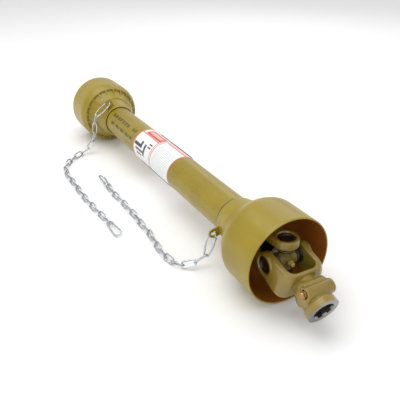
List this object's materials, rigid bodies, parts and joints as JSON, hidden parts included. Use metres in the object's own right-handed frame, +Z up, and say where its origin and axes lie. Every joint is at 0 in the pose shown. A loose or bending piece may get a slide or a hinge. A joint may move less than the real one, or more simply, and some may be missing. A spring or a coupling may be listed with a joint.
{
  "type": "pto drive shaft",
  "caption": "Telescopic drive shaft with a universal joint and splined push-pin yoke at each end, in a two-piece plastic guard with restraint chains.",
  "frame": {"origin": "middle of the part's footprint on the ground, with the shaft pushed together and lying level on its two guard cones", "axes": "+X along the shaft towards the near end, +Z up, chains on the -Y side"},
  "size_m": [1.0758, 0.2619, 0.155],
  "materials": {
    "guard_plastic": "moulded satin polyethylene",
    "bearing_nylon": "smooth",
    "label_film": "printed film",
    "booklet_paper": "folded paper in a clear film",
    "bare_steel": "drawn steel, oiled",
    "yoke_paint": "glossy enamel over forged steel",
    "bearing_steel": "ground",
    "seal_rubber": "moulded",
    "gold_zinc": "yellow zinc plate",
    "bright_zinc": "bright zinc plate"
  },
  "bodies": {
    "outer_guard": {"outer_guard_tube": "guard_plastic", "near_guard_cone": "guard_plastic", "near_guard_collar": "guard_plastic", "near_guard_bearing": "bearing_nylon", "guard_label": "label_film", "instruction_booklet": "booklet_paper"},
    "outer_drive": {"outer_profile_tube": "bare_steel", "near_tube_yoke": "yoke_paint", "near_roll_pin": "bare_steel", "near_tube_yoke_cups": "bearing_steel", "near_tube_yoke_snap_rings": "bearing_steel"},
    "inner_drive": {"inner_profile_tube": "bare_steel", "far_tube_yoke": "yoke_paint", "far_roll_pin": "bare_steel", "far_tube_yoke_cups": "bearing_steel", "far_tube_yoke_snap_rings": "bearing_steel"},
    "inner_guard": {"inner_guard_tube": "guard_plastic", "far_guard_cone": "guard_plastic", "far_guard_collar": "guard_plastic", "far_guard_bearing": "bearing_nylon"},
    "near_joint": {"near_cross": "yoke_paint", "near_cross_seals": "seal_rubber", "near_grease_nipple": "yoke_paint"},
    "far_joint": {"far_cross": "yoke_paint", "far_cross_seals": "seal_rubber", "far_grease_nipple": "yoke_paint"},
    "near_fork": {"near_end_yoke": "yoke_paint", "near_end_yoke_cups": "bearing_steel", "near_end_yoke_snap_rings": "bearing_steel", "near_pin_spring": "bearing_steel"},
    "far_fork": {"far_end_yoke": "yoke_paint", "far_end_yoke_cups": "bearing_steel", "far_end_yoke_snap_rings": "bearing_steel", "far_pin_spring": "bearing_steel"},
    "near_pin": {"near_push_pin": "gold_zinc"},
    "far_pin": {"far_push_pin": "gold_zinc"},
    "near_restraint": {"near_chain": "bright_zinc", "near_start_hook": "bright_zinc", "near_end_hook": "bright_zinc"},
    "far_restraint": {"far_chain": "bright_zinc", "far_start_hook": "bright_zinc", "far_end_hook": "bright_zinc"}
  },
  "joints": [
    {"name": "outer_drive_spin", "type": "hinge", "parent": "outer_guard", "child": "outer_drive", "pos_m": [0.312, 0.05346, 0.0775], "axis": [1, 0, 0], "continuous": true},
    {"name": "telescope", "type": "slide", "parent": "outer_drive", "child": "inner_drive", "axis": [-1, 0, 0], "range_m": [0, 0.3]},
    {"name": "inner_guard_spin", "type": "hinge", "parent": "inner_drive", "child": "inner_guard", "pos_m": [-0.312, 0.05346, 0.0775], "axis": [1, 0, 0], "continuous": true},
    {"name": "near_cross_tilt", "type": "hinge", "parent": "outer_drive", "child": "near_joint", "pos_m": [0.43, 0.05346, 0.0775], "axis": [0, 0, 1], "range_deg": [-22, 22]},
    {"name": "near_yoke_tilt", "type": "hinge", "parent": "near_joint", "child": "near_fork", "pos_m": [0.43, 0.05346, 0.0775], "axis": [0, 1, 0], "range_deg": [-43, 5]},
    {"name": "far_cross_tilt", "type": "hinge", "parent": "inner_drive", "child": "far_joint", "pos_m": [-0.43, 0.05346, 0.0775], "axis": [0, 0, 1], "range_deg": [-22, 22]},
    {"name": "far_yoke_tilt", "type": "hinge", "parent": "far_joint", "child": "far_fork", "pos_m": [-0.43, 0.05346, 0.0775], "axis": [0, -1, 0], "range_deg": [-43, 5]},
    {"name": "near_pin_press", "type": "slide", "parent": "near_fork", "child": "near_pin", "axis": [0, 1, 0], "range_m": [0, 0.01], "stiffness_N_per_m": 900, "springref_m": -0.004, "deforming": ["near_pin_spring"]},
    {"name": "far_pin_press", "type": "slide", "parent": "far_fork", "child": "far_pin", "axis": [0, -1, 0], "range_m": [0, 0.01], "stiffness_N_per_m": 900, "springref_m": -0.004, "deforming": ["far_pin_spring"]},
    {"name": "near_chain_swing", "type": "hinge", "parent": "outer_guard", "child": "near_restraint", "pos_m": [0.2955, 0.00065, 0.06628], "axis": [0, 1, 0], "range_deg": [0, 20]},
    {"name": "far_chain_swing", "type": "hinge", "parent": "inner_guard", "child": "far_restraint", "pos_m": [-0.2955, 0.03064, 0.12643], "axis": [0, -1, 0], "range_deg": [0, 20]}
  ]
}
